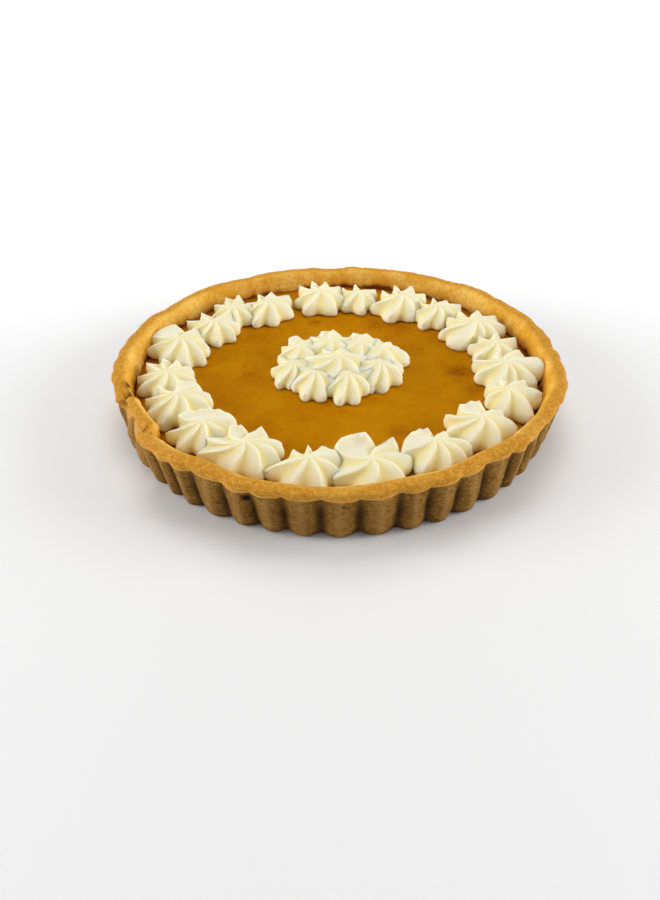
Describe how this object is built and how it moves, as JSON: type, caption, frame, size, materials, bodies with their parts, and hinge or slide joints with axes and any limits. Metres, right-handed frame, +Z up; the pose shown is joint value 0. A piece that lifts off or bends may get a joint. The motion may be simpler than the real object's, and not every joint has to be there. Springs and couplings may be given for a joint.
{
  "type": "pumpkin pie",
  "caption": "Whole pumpkin pie in a fluted pastry case, smooth custard filling, piped cream stars in a ring inside the rim and clustered in the middle.",
  "frame": {"origin": "middle of the flat underside, on the surface the pie rests on", "axes": "+Z up through the pie, -Y towards the side that the picture was taken from, +X to that viewer's right"},
  "size_m": [0.2295, 0.2296, 0.0276],
  "materials": {
    "crust": "baked shortcrust pastry, dry and pitted, golden on the rim and inside, duller brown down the fluted side",
    "custard": "baked pumpkin custard, smooth orange-brown skin with a soft gloss and darker freckles",
    "cream": "piped whipped cream, ivory with yellow in the creases, smooth and slightly moist"
  },
  "bodies": {
    "root": {"crust": "crust", "custard": "custard", "cream_ring_01": "cream", "cream_ring_02": "cream", "cream_ring_03": "cream", "cream_ring_04": "cream", "cream_ring_05": "cream", "cream_ring_06": "cream", "cream_ring_07": "cream", "cream_ring_08": "cream", "cream_ring_09": "cream", "cream_ring_10": "cream", "cream_ring_11": "cream", "cream_ring_12": "cream", "cream_ring_13": "cream", "cream_ring_14": "cream", "cream_ring_15": "cream", "cream_ring_16": "cream", "cream_ring_17": "cream", "cream_ring_18": "cream", "cream_ring_19": "cream", "cream_ring_20": "cream", "cream_centre_01": "cream", "cream_centre_02": "cream", "cream_centre_03": "cream", "cream_centre_04": "cream", "cream_centre_05": "cream", "cream_centre_06": "cream", "cream_centre_07": "cream", "cream_centre_08": "cream", "cream_centre_09": "cream"}
  },
  "joints": []
}
